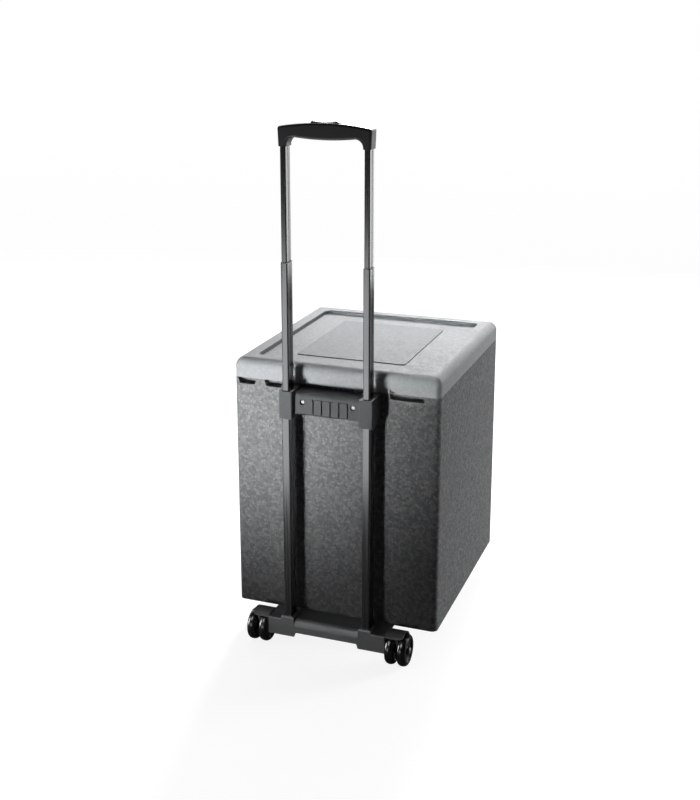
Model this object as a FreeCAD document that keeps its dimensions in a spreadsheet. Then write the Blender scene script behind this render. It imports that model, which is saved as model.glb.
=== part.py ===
import FreeCAD
import Part
import Sketcher
import os
import re

# Insulated food trolley: a bead-foam box with a lift-off lid, carried by a
# two-stage telescopic handle and a wheel carriage on its back face.
# Frame: X along the back face, Y from the handle to the front, Z up.
# The origin is on the floor, under the middle of the whole trolley.

DIMENSIONS = {
    # Foam box
    "box_width": 400,
    "box_depth": 430,
    "box_height": 455,
    "box_corner": 11,
    "box_wall": 35,
    "box_floor": 40,
    "cavity_corner": 25,
    "cavity_floor_round": 12,
    "ground_clearance": 58,
    "plinth_inset": 36,
    "plinth_height": 6,
    # Finger notches along the rim
    "notch_from_middle": 174,
    "notch_spacing": 54,
    "notch_top_width": 38,
    "notch_bottom_width": 30,
    "notch_height": 12,
    "notch_depth": 14,
    "slot_from_middle": 138,
    "slot_width": 64,
    "slot_below_seam": 11.5,
    "slot_peg_width": 9,
    "slot_peg_height": 6,
    "slot_peg_rise": 1.5,
    "slot_peg_depth": 6,
    # Lid
    "lid_height": 37,
    "lid_edge": 16,
    "lid_border": 33,
    "lid_recess": 8,
    "lid_recess_corner": 12,
    "panel_width": 215,
    "panel_depth": 265,
    "panel_rise": 1.5,
    "panel_corner": 6,
    "plug_depth": 14,
    "plug_clearance": 1,
    # Telescopic tubes
    "pole_spacing": 154,
    "pole_gap": 20,
    "tube_width": 15,
    "tube_depth": 27,
    "tube_wall": 1,
    "tube_gap": 0.2,
    "tube_corner": 2,
    "groove_width": 4,
    "groove_depth": 0.4,
    "tube_below_box": 22,
    "mid_show": 237,
    "mid_overlap": 45,
    "upper_show": 203,
    "upper_overlap": 45,
    "collar_height": 2,
    "collar_gap": 0.1,
    "crimp_below_top": 10.5,
    "crimp_spacing": 13.5,
    "crimp_width": 6,
    "crimp_height": 6,
    "crimp_depth": 0.4,
    "guide_head": 12,
    "guide_stem": 16,
    "guide_gap": 0.1,
    "stem_gap": 0.05,
    # Upper bracket
    "clamp_drop": 2,
    "clamp_height": 52,
    "clamp_width": 25.5,
    "clamp_front_wall": 2,
    "clamp_round": 2.5,
    "clamp_back_cut": 12,
    "socket_gap": 0.1,
    "plate_drop": 4,
    "plate_height": 40,
    "plate_depth": 37,
    "plate_round": 7,
    "plate_skin": 3,
    "plate_boss": 16,
    "rib_slots": 5,
    "rib_spacing": 16.5,
    "rib_shift": 6,
    "rib_slot_width": 3,
    "rib_slot_height": 29,
    "rib_slot_depth": 4,
    "frame_line_width": 1.5,
    "frame_line_reach": 58,
    "frame_line_lead": 6,
    "bracket_screw_spacing": 97,
    "bracket_screw_drop": 17,
    "bracket_screw_radius": 1.75,
    "bracket_head_radius": 3.6,
    "bracket_head_height": 3,
    "bracket_bore_radius": 5,
    "bracket_bore_depth": 6,
    "strip_height": 14,
    "strip_length": 130,
    "strip_thickness": 3,
    "screw_past_strip": 1,
    # Wheel carriage
    "carriage_length": 232,
    "carriage_reach": 52,
    "carriage_drop": 32,
    "carriage_rise": 2,
    "carriage_round": 14,
    "carriage_wall": 3.5,
    "arch_width": 122,
    "arch_foot_width": 128,
    "arch_height": 9,
    "boss_width": 26,
    "boss_rise": 8,
    "boss_back": 14,
    "boss_round": 3,
    "shoulder_round": 2,
    "flange_depth": 34,
    "flange_thickness": 5,
    "hood_inner": 31.5,
    "hood_wall": 3,
    "hood_front_angle": 34,
    "hood_back_angle": 62,
    "hood_end": 150,
    "hood_corner": 9,
    "web_thickness": 3.6,
    "web_top_width": 34,
    "axle_boss_radius": 7,
    "axle_boss_length": 5,
    "cheek_radius": 8,
    "cheek_length": 10,
    # Wheels
    "axle_offset": 32,
    "axle_radius": 3,
    "axle_running_gap": 0.05,
    "wheel_radius": 30,
    "wheel_width": 17.5,
    "wheel_pair_centre": 138,
    "wheel_pair_gap": 6.4,
    "rim_radius": 23,
    "rim_lip": 2,
    "rim_step": 0.6,
    "hub_radius": 7,
    "dish_depth": 3,
    "tyre_gap": 0.03,
    "tyre_round": 4,
    "cap_radius": 6,
    "cap_thickness": 2,
    "cap_gap": 0.3,
    # Fixings under the box
    "anchor_radius": 7,
    "anchor_length": 28,
    "anchor_gap": 0.05,
    "floor_screw_radius": 2,
    "floor_screw_length": 24,
    "floor_head_radius": 4,
    "floor_head_height": 3,
    "flange_screw_inner": 40,
    "flange_screw_outer": 98,
    "flange_screw_inset": 18,
    # Front feet
    "foot_from_side": 70,
    "foot_inset": 18,
    "foot_width": 54,
    "foot_depth": 33,
    "foot_taper": 4,
    "foot_round": 6,
    "foot_floor": 8,
    "foot_bore_radius": 7,
    "pad_thickness": 5,
    "pad_inset": 4,
    # Grip and release button
    "grip_width": 172,
    "grip_depth": 28,
    "leg_width": 16.5,
    "leg_taper": 1.5,
    "belly_side": 18,
    "belly_middle": 12.8,
    "grip_shoulder": 34,
    "grip_crown": 42,
    "grip_corner": 4.5,
    "grip_armpit": 14,
    "grip_round": 4,
    "grip_parting": 26.8,
    "grip_socket": 15,
    "channel_depth": 8,
    "channel_gap": 0.5,
    "bar_height": 4,
    "bar_depth": 8,
    "bar_overhang": 4,
    "bar_below_parting": 0.5,
    "rod_radius": 2,
    "rod_gap": 0.5,
    "button_width": 52,
    "button_depth": 16,
    "button_shoulder": 43,
    "button_peak": 44.8,
    "button_saddle": 42.7,
    "button_peak_inset": 4,
    "button_peak_round": 1.5,
    "button_round": 1.2,
    "button_gap": 0.3,
    "button_flange": 3,
    "button_flange_height": 2.5,
    "button_travel": 3,
    "spring_radius": 4,
    "spring_wire": 0.8,
    "spring_pocket": 3.5,
    "spring_gap": 0.5,
    "grip_screw_from_middle": 46,
    "grip_screw_radius": 1.5,
    "grip_screw_rise": 8,
    "grip_head_radius": 3,
    "grip_head_height": 2,
    "grip_screw_floor": 1.2,
    # Lock pins
    "pin_radius": 2,
    "pin_length": 8,
    "pin_travel": 2,
    "pin_running_gap": 0.05,
    "pin_hole_gap": 0.3,
    "pin_tip_gap": 0.1,
    # Tools' overshoot past a face that they cut
    "overcut": 1,
}

SIDES = (("left", -1), ("right", 1))

# Places that several pieces share, in the sizes' own names
BASE = "ground_clearance"
SEAM = "(ground_clearance + box_height)"
LID_TOP = f"({SEAM} + lid_height)"
BACK = "((axle_offset + wheel_radius - box_depth) / 2)"
FRONT = f"({BACK} + box_depth)"
POLE_Y = f"({BACK} - pole_gap - tube_depth / 2)"
CLAMP_TOP = f"({SEAM} - clamp_drop)"
CLAMP_BOTTOM = f"({CLAMP_TOP} - clamp_height)"
PLATE_TOP = f"({CLAMP_TOP} - plate_drop)"
FACE_MIDDLE = f"({PLATE_TOP} - (plate_round + plate_height) / 2)"
SCREW_Z = f"({PLATE_TOP} - bracket_screw_drop)"
PLATE_FRONT = f"({BACK} - plate_depth)"
STRIP_Y = f"({BACK} + box_wall)"
OUTER_BOTTOM = f"({BASE} - tube_below_box)"
MID_TOP = f"({CLAMP_TOP} + mid_show)"
MID_BOTTOM = f"({CLAMP_TOP} - mid_overlap)"
GRIP_BOTTOM = f"({MID_TOP} + upper_show)"
UPPER_BOTTOM = f"({MID_TOP} - upper_overlap)"
CARRIAGE_BOTTOM = f"({BASE} - carriage_drop)"
CARRIAGE_TOP = f"({BASE} + carriage_rise)"
AXLE_Y = f"({BACK} - axle_offset)"
AXLE_Z = "wheel_radius"
PARTING = f"({GRIP_BOTTOM} + grip_parting)"
CHANNEL_FLOOR = f"({PARTING} - channel_depth)"
BAR_TOP = f"({PARTING} - bar_below_parting)"
BAR_BOTTOM = f"({BAR_TOP} - bar_height)"
PIN_Z = f"({UPPER_BOTTOM} - guide_head / 2)"

doc = FreeCAD.newDocument("food_trolley")
dims = doc.addObject("Spreadsheet::Sheet", "dims")
for row, (alias, size) in enumerate(DIMENSIONS.items(), start=1):
    dims.set(f"A{row}", alias)
    dims.set(f"B{row}", str(size))
    dims.setAlias(f"B{row}", alias)
doc.recompute()

ALIAS = re.compile(r"\b(" + "|".join(DIMENSIONS) + r")\b")
subparts = []


def bound(expression):
    """An expression in which every size is read from the sheet."""
    return ALIAS.sub(r"dims.\1", str(expression))


def value(expression):
    """The number that an expression has now."""
    return float(dims.evalExpression(bound(expression)))


def keep(obj, name):
    """Name a finished sub-part and list it for export."""
    obj.Label = name
    subparts.append(obj)
    return obj


# Sketches and features of a body


def new_body(name):
    return doc.addObject("PartDesign::Body", name)


def new_sketch(body, role, offset="0"):
    """A sketch on one of the body's own planes, moved along its normal."""
    plane = next(item for item in body.Origin.OriginFeatures if item.Role == role)
    sketch = body.newObject("Sketcher::SketchObject", body.Name + "_sketch")
    sketch.AttachmentSupport = [(plane, "")]
    sketch.MapMode = "FlatFace"
    sketch.setExpression("AttachmentOffset.Base.z", bound(offset))
    return sketch


def place_point(sketch, curve, end, x, y):
    """Tie one point of a curve to the sheet by its two coordinates."""
    for kind, expression in (("DistanceX", x), ("DistanceY", y)):
        here = Sketcher.Constraint(kind, -1, 1, curve, end, value(expression))
        number = sketch.addConstraint(here)
        sketch.setExpression(f"Constraints[{number}]", bound(expression))


def add_profile(sketch, points):
    """A closed outline. A point marked "via" bends its stretch into an arc."""
    corners = [point for point in points if len(point) == 2]
    vias = {}
    for place, point in enumerate(points):
        if len(point) == 3:
            vias[points[place - 1]] = point
    first = sketch.GeometryCount
    ends = []
    for place, corner in enumerate(corners):
        after = corners[(place + 1) % len(corners)]
        start = FreeCAD.Vector(value(corner[0]), value(corner[1]), 0)
        end = FreeCAD.Vector(value(after[0]), value(after[1]), 0)
        via = vias.get(corner)
        if not via:
            sketch.addGeometry(Part.LineSegment(start, end), False)
            ends.append((1, 2))
            continue
        middle = FreeCAD.Vector(value(via[0]), value(via[1]), 0)
        # A sketch keeps its arcs anticlockwise, so a clockwise one is drawn from its end
        clockwise = (middle - start).cross(end - middle).z < 0
        if clockwise:
            start, end = end, start
        sketch.addGeometry(Part.Arc(start, middle, end), False)
        ends.append((2, 1) if clockwise else (1, 2))
    for place in range(len(corners)):
        after = (place + 1) % len(corners)
        this_end = (first + place, ends[place][1])
        next_start = (first + after, ends[after][0])
        sketch.addConstraint(Sketcher.Constraint("Coincident", *this_end, *next_start))
    for place, corner in enumerate(corners):
        place_point(sketch, first + place, ends[place][0], *corner)
        via = vias.get(corner)
        if via:
            middle = FreeCAD.Vector(value(via[0]), value(via[1]), 0)
            mark = sketch.addGeometry(Part.Point(middle), True)
            place_point(sketch, mark, 1, via[0], via[1])
            sketch.addConstraint(Sketcher.Constraint("PointOnObject", mark, 1, first + place))


def add_rectangle(sketch, x_low, y_low, x_high, y_high):
    add_profile(sketch, [(x_low, y_low), (x_high, y_low), (x_high, y_high), (x_low, y_high)])


def add_centred(sketch, x, y, width, depth):
    """A rectangle by its middle and its two sides."""
    half_x = f"({width}) / 2"
    half_y = f"({depth}) / 2"
    add_rectangle(sketch, f"{x} - {half_x}", f"{y} - {half_y}", f"{x} + {half_x}", f"{y} + {half_y}")


def add_circle(sketch, x, y, radius):
    middle = FreeCAD.Vector(value(x), value(y), 0)
    ring = Part.Circle(middle, FreeCAD.Vector(0, 0, 1), value(radius))
    curve = sketch.addGeometry(ring, False)
    place_point(sketch, curve, 3, x, y)
    number = sketch.addConstraint(Sketcher.Constraint("Radius", curve, value(radius)))
    sketch.setExpression(f"Constraints[{number}]", bound(radius))


def extrude(body, kind, sketch, length, reverse=False, both=False):
    """A pad or pocket of a given length, which has to change the solid."""
    before = body.Shape.Volume if body.Tip and not body.Shape.isNull() else 0
    feature = body.newObject(f"PartDesign::{kind}", f"{body.Name}_{kind.lower()}")
    feature.Profile = sketch
    feature.Reversed = reverse
    feature.SideType = "Symmetric" if both else "One side"
    feature.setExpression("Length", bound(length))
    doc.recompute()
    change = body.Shape.Volume - before
    if (change <= 0) if kind == "Pad" else (change >= 0):
        raise RuntimeError(f"{feature.Name} leaves {body.Name} as it was")
    return feature


def pad(body, sketch, length, reverse=False, both=False):
    return extrude(body, "Pad", sketch, length, reverse, both)


def pocket(body, sketch, length, reverse=False, both=False):
    return extrude(body, "Pocket", sketch, length, reverse, both)


def revolve(body, sketch):
    """Turn a profile round its sketch's own horizontal axis."""
    feature = body.newObject("PartDesign::Revolution", f"{body.Name}_revolution")
    feature.Profile = sketch
    feature.ReferenceAxis = (sketch, ["H_Axis"])
    feature.Angle = 360
    doc.recompute()
    return feature


def round_edges(body, radius, chosen):
    """Fillet the edges of a body that a test picks."""
    base = body.Tip
    edges = enumerate(base.Shape.Edges, start=1)
    names = [f"Edge{number}" for number, edge in edges if chosen(edge)]
    if not names:
        raise RuntimeError(f"no edge to round on {body.Name}")
    feature = body.newObject("PartDesign::Fillet", f"{body.Name}_fillet")
    feature.Base = (base, names)
    feature.setExpression("Radius", bound(radius))
    doc.recompute()
    if "Invalid" in feature.State:
        raise RuntimeError(f"{feature.Name} can't round {body.Name}")


# Tests that pick edges

NEAR = 1e-3


def runs_along(edge, axis):
    """Whether an edge is straight and lies along an axis, given as 0, 1 or 2."""
    ends = edge.Vertexes
    if len(ends) < 2:
        return False
    return abs(abs(ends[1].Point[axis] - ends[0].Point[axis]) - edge.Length) < NEAR


def middle_of(edge):
    return edge.BoundBox.Center


def upright(edge):
    return runs_along(edge, 2)


def upright_at(x, y, width, depth):
    """Upright edges at the four corners of a rectangle."""
    spots = [value(x), value(y), value(width) / 2, value(depth) / 2]

    def chosen(edge):
        spot = middle_of(edge)
        at_x = abs(abs(spot.x - spots[0]) - spots[2]) < NEAR
        at_y = abs(abs(spot.y - spots[1]) - spots[3]) < NEAR
        return upright(edge) and at_x and at_y

    return chosen


def level_at(height):
    """Edges that lie wholly at one height."""
    level = value(height)

    def chosen(edge):
        box = edge.BoundBox
        return abs(box.ZMin - level) < NEAR and abs(box.ZMax - level) < NEAR

    return chosen


# Plain solids


def new_block(name, x, y, z, width, depth, height):
    """A block by the middle of its bottom face."""
    block = doc.addObject("Part::Box", name)
    block.setExpression("Length", bound(width))
    block.setExpression("Width", bound(depth))
    block.setExpression("Height", bound(height))
    block.setExpression("Placement.Base.x", bound(f"{x} - ({width}) / 2"))
    block.setExpression("Placement.Base.y", bound(f"{y} - ({depth}) / 2"))
    block.setExpression("Placement.Base.z", bound(z))
    return block


TURNS = {
    "x": FreeCAD.Rotation(FreeCAD.Vector(0, 1, 0), 90),
    "y": FreeCAD.Rotation(FreeCAD.Vector(1, 0, 0), -90),
    "z": FreeCAD.Rotation(),
}


def new_rod(name, axis, x, y, z, radius, length):
    """A cylinder from the middle of its end face, along an axis."""
    rod = doc.addObject("Part::Cylinder", name)
    rod.Placement.Rotation = TURNS[axis]
    rod.setExpression("Radius", bound(radius))
    rod.setExpression("Height", bound(length))
    rod.setExpression("Placement.Base.x", bound(x))
    rod.setExpression("Placement.Base.y", bound(y))
    rod.setExpression("Placement.Base.z", bound(z))
    return rod


def fused(name, pieces):
    joined = doc.addObject("Part::MultiFuse", name)
    joined.Shapes = pieces
    joined.Refine = True
    return joined


def cut(name, base, tools):
    """A solid less its tools, which are joined first when there are several."""
    result = doc.addObject("Part::Cut", name)
    result.Base = base
    result.Tool = tools[0] if len(tools) == 1 else fused(name + "_tools", tools)
    result.Refine = True
    return result


def common(name, base, tool):
    shared = doc.addObject("Part::Common", name)
    shared.Base = base
    shared.Tool = tool
    shared.Refine = True
    return shared


def grouped(name, pieces):
    """Separate like solids kept together as one sub-part."""
    group = doc.addObject("Part::Compound", name)
    group.Links = pieces
    return group


def new_screw(name, axis, x, y, z, shaft_radius, shaft_length, head_radius, head_height, head_first):
    """A screw from under its head; the head lies before or after the shaft's start."""
    shaft = new_rod(name + "_shaft", axis, x, y, z, shaft_radius, shaft_length)
    start = {"x": x, "y": y, "z": z}
    start[axis] = f"{start[axis]} - {head_height}" if head_first else f"{start[axis]} + {shaft_length}"
    head = new_rod(name + "_head", axis, start["x"], start["y"], start["z"], head_radius, head_height)
    return fused(name, [shaft, head])


# Where the screws under the box go

FLANGE_SCREWS = []
for flange_x in ("flange_screw_outer", "flange_screw_inner"):
    for side, sign in SIDES:
        FLANGE_SCREWS.append((f"{sign} * {flange_x}", f"{BACK} + flange_screw_inset"))
FOOT_X = "(box_width / 2 - foot_from_side)"
FOOT_SCREWS = [(f"{sign} * {FOOT_X}", f"{FRONT} - foot_inset") for side, sign in SIDES]
BRACKET_SCREWS = [f"{sign} * bracket_screw_spacing / 2" for side, sign in SIDES]


# Foam box and lid


def notch_outline(sketch, middle):
    """A finger notch, narrower at its foot, open at the rim."""
    foot = f"{SEAM} - notch_height"
    add_profile(
        sketch,
        [
            (f"{middle} - notch_bottom_width / 2", foot),
            (f"{middle} + notch_bottom_width / 2", foot),
            (f"{middle} + notch_top_width / 2", SEAM),
            (f"{middle} - notch_top_width / 2", SEAM),
        ],
    )


def make_box_body():
    body = new_body("box_body")
    outline = new_sketch(body, "XY_Plane", BASE)
    add_rectangle(outline, "-box_width / 2", BACK, "box_width / 2", FRONT)
    pad(body, outline, "box_height")
    round_edges(body, "box_corner", upright)

    plinth_width = "box_width - 2 * plinth_inset"
    plinth_depth = "box_depth - 2 * plinth_inset"
    box_middle = f"({BACK} + box_depth / 2)"
    plinth = new_sketch(body, "XY_Plane", BASE)
    add_centred(plinth, "0", box_middle, plinth_width, plinth_depth)
    pad(body, plinth, "plinth_height", reverse=True)
    round_edges(body, "cavity_corner", upright_at("0", box_middle, plinth_width, plinth_depth))

    inner_width = "box_width - 2 * box_wall"
    inner_depth = "box_depth - 2 * box_wall"
    cavity = new_sketch(body, "XY_Plane", SEAM)
    add_centred(cavity, "0", box_middle, inner_width, inner_depth)
    pocket(body, cavity, "box_height - box_floor")
    round_edges(body, "cavity_corner", upright_at("0", box_middle, inner_width, inner_depth))
    round_edges(body, "cavity_floor_round", level_at(f"{BASE} + box_floor"))

    for face, turn, reverse in ((BACK, 1, False), (FRONT, -1, True)):
        rim = new_sketch(body, "XZ_Plane", f"-({face})")
        notch_outline(rim, f"{-turn} * notch_from_middle")
        notch_outline(rim, f"{-turn} * (notch_from_middle - notch_spacing)")
        add_rectangle(
            rim,
            f"{turn} * slot_from_middle - slot_width / 2",
            f"{SEAM} - slot_below_seam",
            f"{turn} * slot_from_middle + slot_width / 2",
            SEAM,
        )
        pocket(body, rim, "notch_depth", reverse)

    holes = new_sketch(body, "XY_Plane", BASE)
    for x, y in FLANGE_SCREWS + FOOT_SCREWS:
        add_circle(holes, x, y, "anchor_radius + anchor_gap")
    pocket(body, holes, "anchor_length", reverse=True)

    through = new_sketch(body, "XZ_Plane", f"-({BACK})")
    for x in BRACKET_SCREWS:
        add_circle(through, x, SCREW_Z, "bracket_screw_radius + anchor_gap")
    pocket(body, through, "box_wall")
    keep(body, "box_body")


def make_lid():
    body = new_body("lid")
    box_middle = f"({BACK} + box_depth / 2)"
    outline = new_sketch(body, "XY_Plane", SEAM)
    add_rectangle(outline, "-box_width / 2", BACK, "box_width / 2", FRONT)
    pad(body, outline, "lid_height")
    round_edges(body, "box_corner", upright)
    round_edges(body, "lid_edge", level_at(LID_TOP))

    recess_width = "box_width - 2 * lid_border"
    recess_depth = "box_depth - 2 * lid_border"
    recess = new_sketch(body, "XY_Plane", LID_TOP)
    add_centred(recess, "0", box_middle, recess_width, recess_depth)
    pocket(body, recess, "lid_recess")
    round_edges(body, "lid_recess_corner", upright_at("0", box_middle, recess_width, recess_depth))

    panel = new_sketch(body, "XY_Plane", f"{LID_TOP} - lid_recess")
    add_centred(panel, "0", box_middle, "panel_width", "panel_depth")
    pad(body, panel, "panel_rise")
    round_edges(body, "panel_corner", upright_at("0", box_middle, "panel_width", "panel_depth"))

    plug_width = "box_width - 2 * (box_wall + plug_clearance)"
    plug_length = "box_depth - 2 * (box_wall + plug_clearance)"
    plug = new_sketch(body, "XY_Plane", SEAM)
    add_centred(plug, "0", box_middle, plug_width, plug_length)
    pad(body, plug, "plug_depth", reverse=True)
    round_edges(body, "cavity_corner", upright_at("0", box_middle, plug_width, plug_length))

    for face, turn, reverse in ((BACK, 1, False), (FRONT, -1, True)):
        peg_hole = new_sketch(body, "XZ_Plane", f"-({face})")
        add_centred(
            peg_hole,
            f"{turn} * (slot_from_middle - slot_width / 2 + slot_peg_width / 2)",
            f"{SEAM} + slot_peg_rise + slot_peg_height / 2",
            "slot_peg_width",
            "slot_peg_height",
        )
        pocket(body, peg_hole, "slot_peg_depth", reverse)
    keep(body, "lid")


# Telescopic tubes


def stage_width(stage):
    return f"(tube_width - {2 * stage} * (tube_wall + tube_gap))"


def stage_depth(stage):
    return f"(tube_depth - {2 * stage} * (tube_wall + tube_gap))"


def make_tube(name, x, stage, bottom, top):
    """A thin-walled tube with a groove down each narrow side."""
    width = stage_width(stage)
    depth = stage_depth(stage)
    body = new_body(name)
    section = new_sketch(body, "XY_Plane", bottom)
    left = f"{x} - {width} / 2"
    right = f"{x} + {width} / 2"
    near = f"{POLE_Y} - {depth} / 2"
    far = f"{POLE_Y} + {depth} / 2"
    groove_near = f"{POLE_Y} - groove_width / 2"
    groove_far = f"{POLE_Y} + groove_width / 2"
    add_profile(
        section,
        [
            (left, near),
            (right, near),
            (right, groove_near),
            (f"{right} - groove_depth", groove_near),
            (f"{right} - groove_depth", groove_far),
            (right, groove_far),
            (right, far),
            (left, far),
            (left, groove_far),
            (f"{left} + groove_depth", groove_far),
            (f"{left} + groove_depth", groove_near),
            (left, groove_near),
        ],
    )
    add_centred(section, x, POLE_Y, f"{width} - 2 * tube_wall", f"{depth} - 2 * tube_wall")
    pad(body, section, f"{top} - {bottom}")
    round_edges(body, "tube_corner", upright_at(x, POLE_Y, width, depth))
    inner = upright_at(x, POLE_Y, f"{width} - 2 * tube_wall", f"{depth} - 2 * tube_wall")
    round_edges(body, "tube_corner - tube_wall", inner)
    return body


def make_collar(name, x, stage, top):
    """A ring on a tube's top end, round the next tube."""
    body = new_body(name)
    ring = new_sketch(body, "XY_Plane", f"{top} - collar_height")
    add_centred(ring, x, POLE_Y, stage_width(stage), stage_depth(stage))
    add_centred(
        ring,
        x,
        POLE_Y,
        f"{stage_width(stage + 1)} + 2 * collar_gap",
        f"{stage_depth(stage + 1)} + 2 * collar_gap",
    )
    pad(body, ring, "collar_height")
    round_edges(body, "tube_corner", upright_at(x, POLE_Y, stage_width(stage), stage_depth(stage)))
    keep(body, name)


def make_guide(name, x, stage, bottom, locked):
    """A plastic foot on a tube's lower end, which slides in the tube around it."""
    head_width = f"({stage_width(stage)} + 2 * tube_gap - 2 * guide_gap)"
    head_depth = f"({stage_depth(stage)} + 2 * tube_gap - 2 * guide_gap)"
    body = new_body(name)
    head = new_sketch(body, "XY_Plane", f"{bottom} - guide_head")
    add_centred(head, x, POLE_Y, head_width, head_depth)
    pad(body, head, "guide_head")
    round_edges(body, "tube_corner", upright_at(x, POLE_Y, head_width, head_depth))
    stem_width = f"({stage_width(stage)} - 2 * tube_wall - 2 * stem_gap)"
    stem_depth = f"({stage_depth(stage)} - 2 * tube_wall - 2 * stem_gap)"
    stem = new_sketch(body, "XY_Plane", bottom)
    add_centred(stem, x, POLE_Y, stem_width, stem_depth)
    pad(body, stem, "guide_stem")
    round_edges(body, "tube_corner - tube_wall", upright_at(x, POLE_Y, stem_width, stem_depth))
    if locked:
        rod_bore = new_sketch(body, "XY_Plane", f"{bottom} + guide_stem")
        add_circle(rod_bore, x, POLE_Y, "rod_radius + rod_gap")
        pocket(body, rod_bore, "guide_stem + guide_head / 2")
        pin_bore = new_sketch(body, "XZ_Plane", f"-({POLE_Y} + {head_depth} / 2)")
        add_circle(pin_bore, x, PIN_Z, "pin_radius + pin_running_gap")
        pocket(body, pin_bore, "pin_length + pin_tip_gap + pin_travel + pin_hole_gap", reverse=True)
    keep(body, name)


def make_poles():
    for side, sign in SIDES:
        x = f"{sign} * pole_spacing / 2"
        outer = make_tube(f"outer_tube_{side}", x, 0, OUTER_BOTTOM, f"({CLAMP_TOP} - collar_height)")
        keep(outer, f"outer_tube_{side}")
        make_collar(f"outer_collar_{side}", x, 0, CLAMP_TOP)

        mid = make_tube(f"mid_tube_{side}", x, 1, MID_BOTTOM, f"({MID_TOP} - collar_height)")
        pin_hole = new_sketch(mid, "XZ_Plane", f"-({POLE_Y} + {stage_depth(1)} / 2)")
        add_circle(pin_hole, x, PIN_Z, "pin_radius + pin_hole_gap")
        pocket(mid, pin_hole, "tube_wall + tube_gap", reverse=True)
        crimps = new_sketch(mid, "XZ_Plane", f"-({POLE_Y} - {stage_depth(1)} / 2)")
        for number in range(2):
            crimp_z = f"({MID_TOP} - crimp_below_top - {number} * crimp_spacing)"
            add_centred(crimps, x, crimp_z, "crimp_width", "crimp_height")
        pocket(mid, crimps, "crimp_depth")
        keep(mid, f"mid_tube_{side}")
        make_collar(f"mid_collar_{side}", x, 1, MID_TOP)
        make_guide(f"mid_guide_{side}", x, 1, MID_BOTTOM, False)

        upper = make_tube(f"upper_tube_{side}", x, 2, UPPER_BOTTOM, f"({GRIP_BOTTOM} + grip_socket)")
        keep(upper, f"upper_tube_{side}")
        make_guide(f"upper_guide_{side}", x, 2, UPPER_BOTTOM, True)

        pin_end = f"{POLE_Y} + {stage_depth(2)} / 2 + tube_gap - guide_gap - pin_tip_gap"
        pin_start = f"{pin_end} - pin_length"
        pin = new_rod(f"lock_pin_{side}", "y", x, pin_start, PIN_Z, "pin_radius", "pin_length")
        keep(pin, f"lock_pin_{side}")


# Upper bracket


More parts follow.
